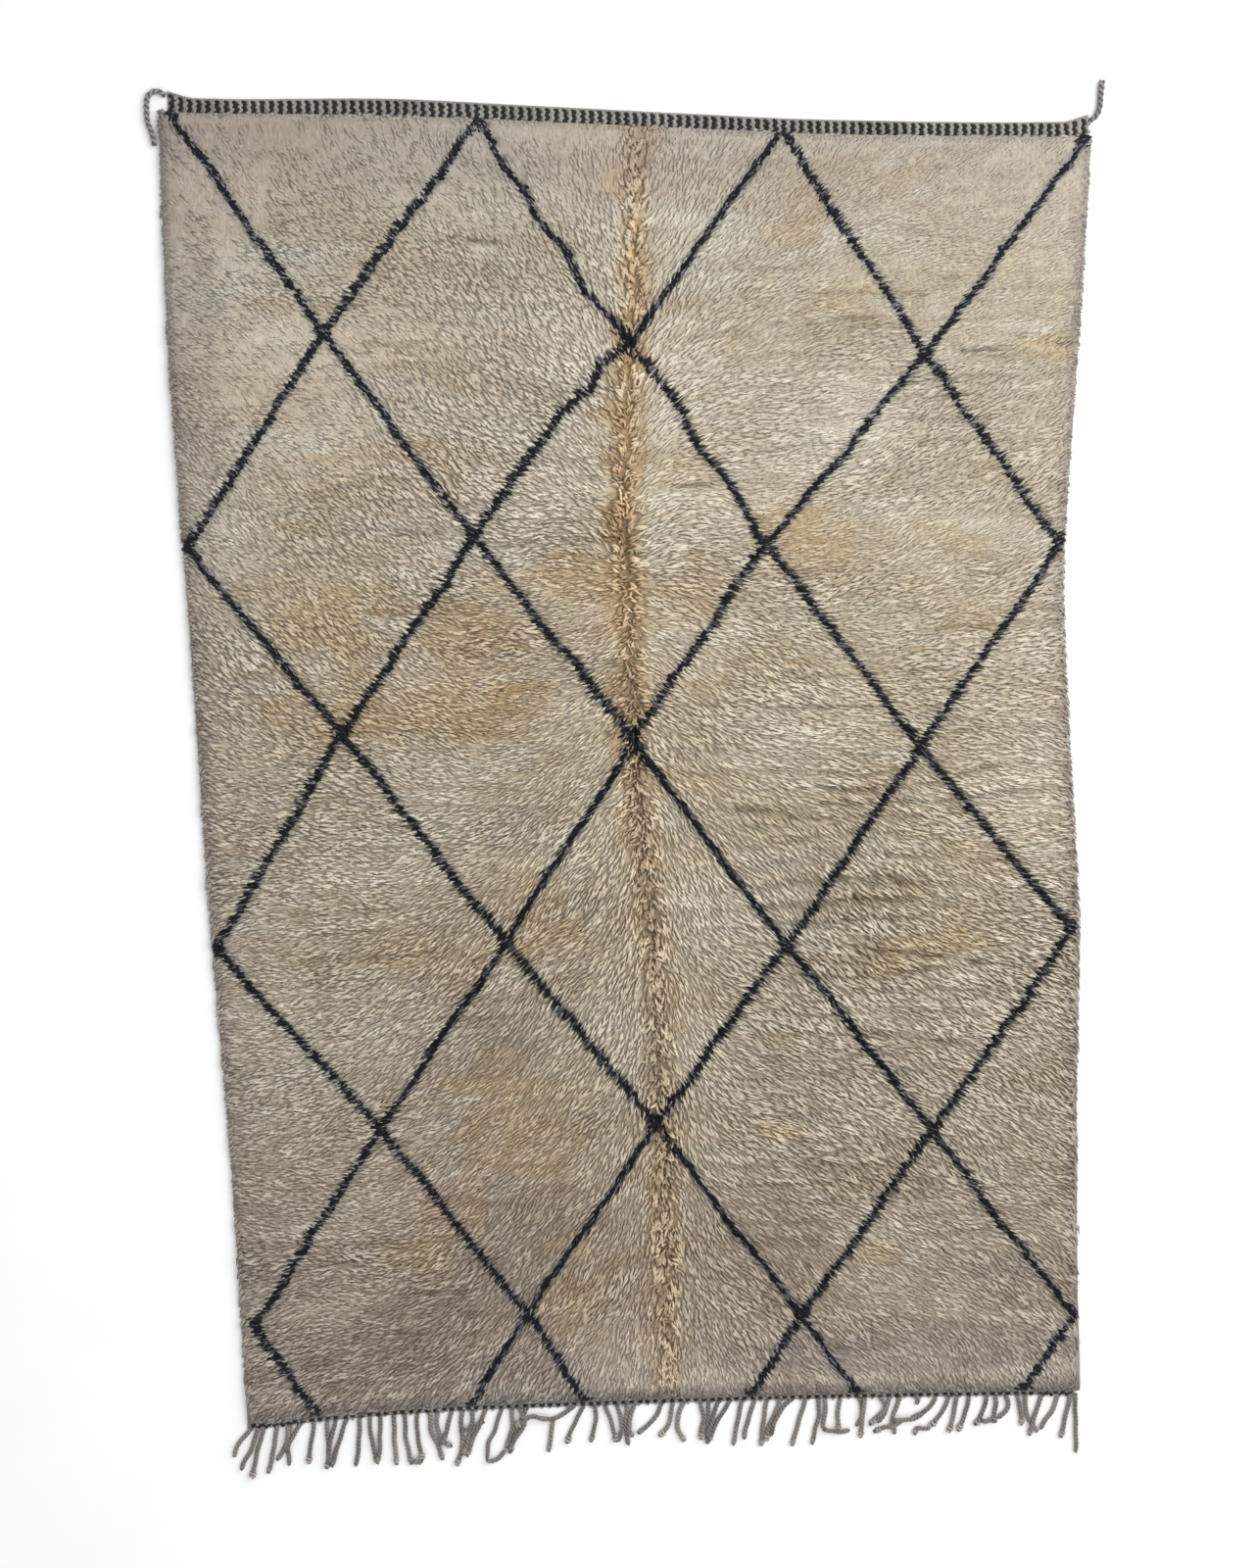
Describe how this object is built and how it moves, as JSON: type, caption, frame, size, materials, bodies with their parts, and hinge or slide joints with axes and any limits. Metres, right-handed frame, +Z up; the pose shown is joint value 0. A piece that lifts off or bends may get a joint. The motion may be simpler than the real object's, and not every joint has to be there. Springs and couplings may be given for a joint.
{
  "type": "beni mrirt rug",
  "caption": "Thick hand-knotted cream wool pile rug with a black diamond lattice, a flat chequered head band, a knotted foot fringe and twisted corner cords.",
  "frame": {"origin": "on the floor under the middle of the rug, fringe included", "axes": "+Z up out of the pile, +Y from the fringed foot to the banded head, +X to the right seen from above"},
  "size_m": [2.1091, 3.22, 0.0266],
  "materials": {
    "wool_pile": "deep brushed wool pile",
    "twined_band": "flat twined wool",
    "warp_fringe": "plied wool warp",
    "corner_cord": "twisted wool cord"
  },
  "bodies": {
    "root": {"pile_field": "wool_pile", "head_band": "twined_band", "foot_fringe": "warp_fringe", "corner_cord_left": "corner_cord", "corner_cord_right": "corner_cord"}
  },
  "joints": []
}
